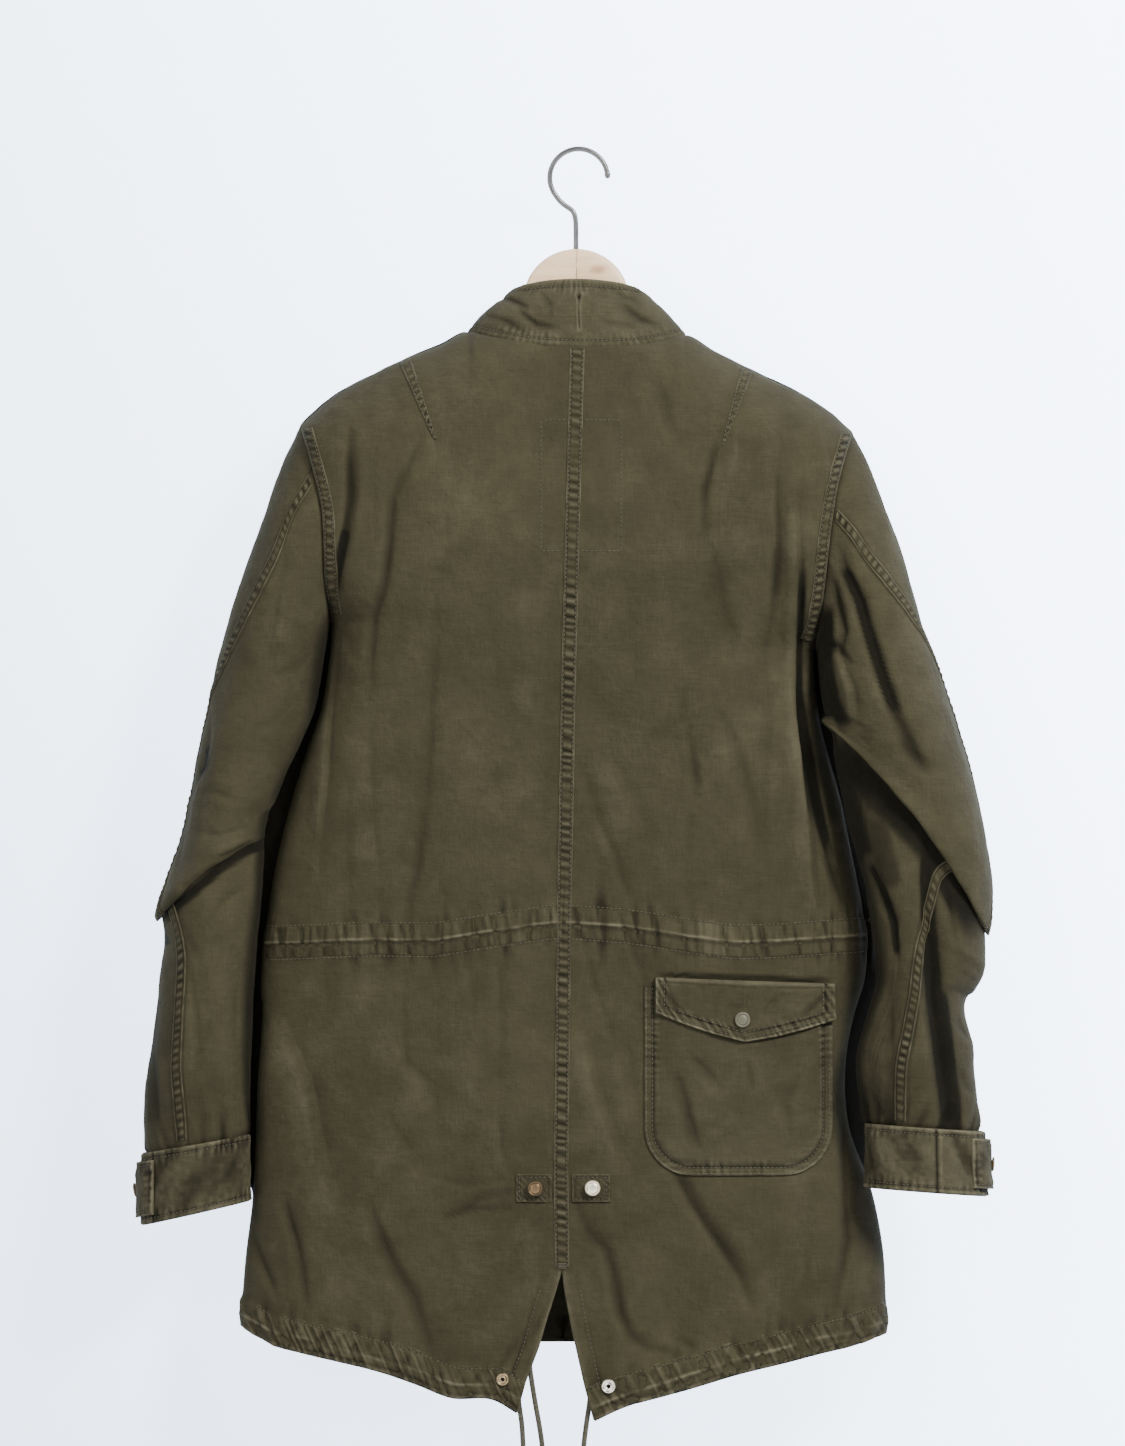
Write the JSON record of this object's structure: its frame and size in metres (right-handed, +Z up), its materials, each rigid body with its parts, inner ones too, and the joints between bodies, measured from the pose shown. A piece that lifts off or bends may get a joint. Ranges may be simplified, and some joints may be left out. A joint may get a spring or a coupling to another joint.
{
  "type": "fishtail parka on a hanger",
  "caption": "Fishtail parka hanging on a wooden hanger by its wire hook, with a stand collar, back pocket, split tail and hanging drawcords.",
  "frame": {"origin": "the inner top of the wire hook, where the rail that holds the hanger touches it", "axes": "+Z up; the back of the coat faces -Y and its front +Y; +X to the right seen from behind"},
  "size_m": [0.6595, 0.1204, 1.141],
  "materials": {
    "shell_cloth": "washed olive cotton poplin, matt, worn paler along seams and ridges",
    "trim_cloth": "the same olive cotton, doubled and topstitched, with paler worn edges",
    "cord": "olive braided cotton cord",
    "dark_snap": "olive painted snap cap, satin",
    "snap_brass": "aged brass, worn bright on its rim",
    "wood": "pale varnished beech, satin",
    "hook_steel": "bright steel wire"
  },
  "bodies": {
    "root": {"back_left": "shell_cloth", "back_right": "shell_cloth", "front_left": "shell_cloth", "front_right": "shell_cloth", "undersleeve_left": "shell_cloth", "undersleeve_right": "shell_cloth", "uppersleeve_left": "shell_cloth", "uppersleeve_right": "shell_cloth", "collar": "trim_cloth", "placket": "trim_cloth", "cuff_left": "trim_cloth", "cuff_right": "trim_cloth", "cuff_tab_left": "trim_cloth", "cuff_tab_right": "trim_cloth", "pocket_bag": "trim_cloth", "pocket_flap": "trim_cloth", "vent_tab_left": "trim_cloth", "vent_tab_right": "trim_cloth", "pocket_snap": "dark_snap", "cuff_snap_left": "snap_brass", "cuff_snap_right": "snap_brass", "vent_snap_left": "snap_brass", "vent_snap_right": "snap_brass", "tail_snap_left": "snap_brass", "tail_snap_right": "snap_brass", "placket_snap_1": "snap_brass", "placket_snap_2": "snap_brass", "placket_snap_3": "snap_brass", "placket_snap_4": "snap_brass", "placket_snap_5": "snap_brass", "placket_snap_6": "snap_brass", "drawcord_left": "cord", "drawcord_middle": "cord", "drawcord_right": "cord", "knot_left": "cord", "knot_middle": "cord", "knot_right": "cord", "hanger_left": "wood", "hanger_right": "wood", "hook": "hook_steel"}
  },
  "joints": []
}
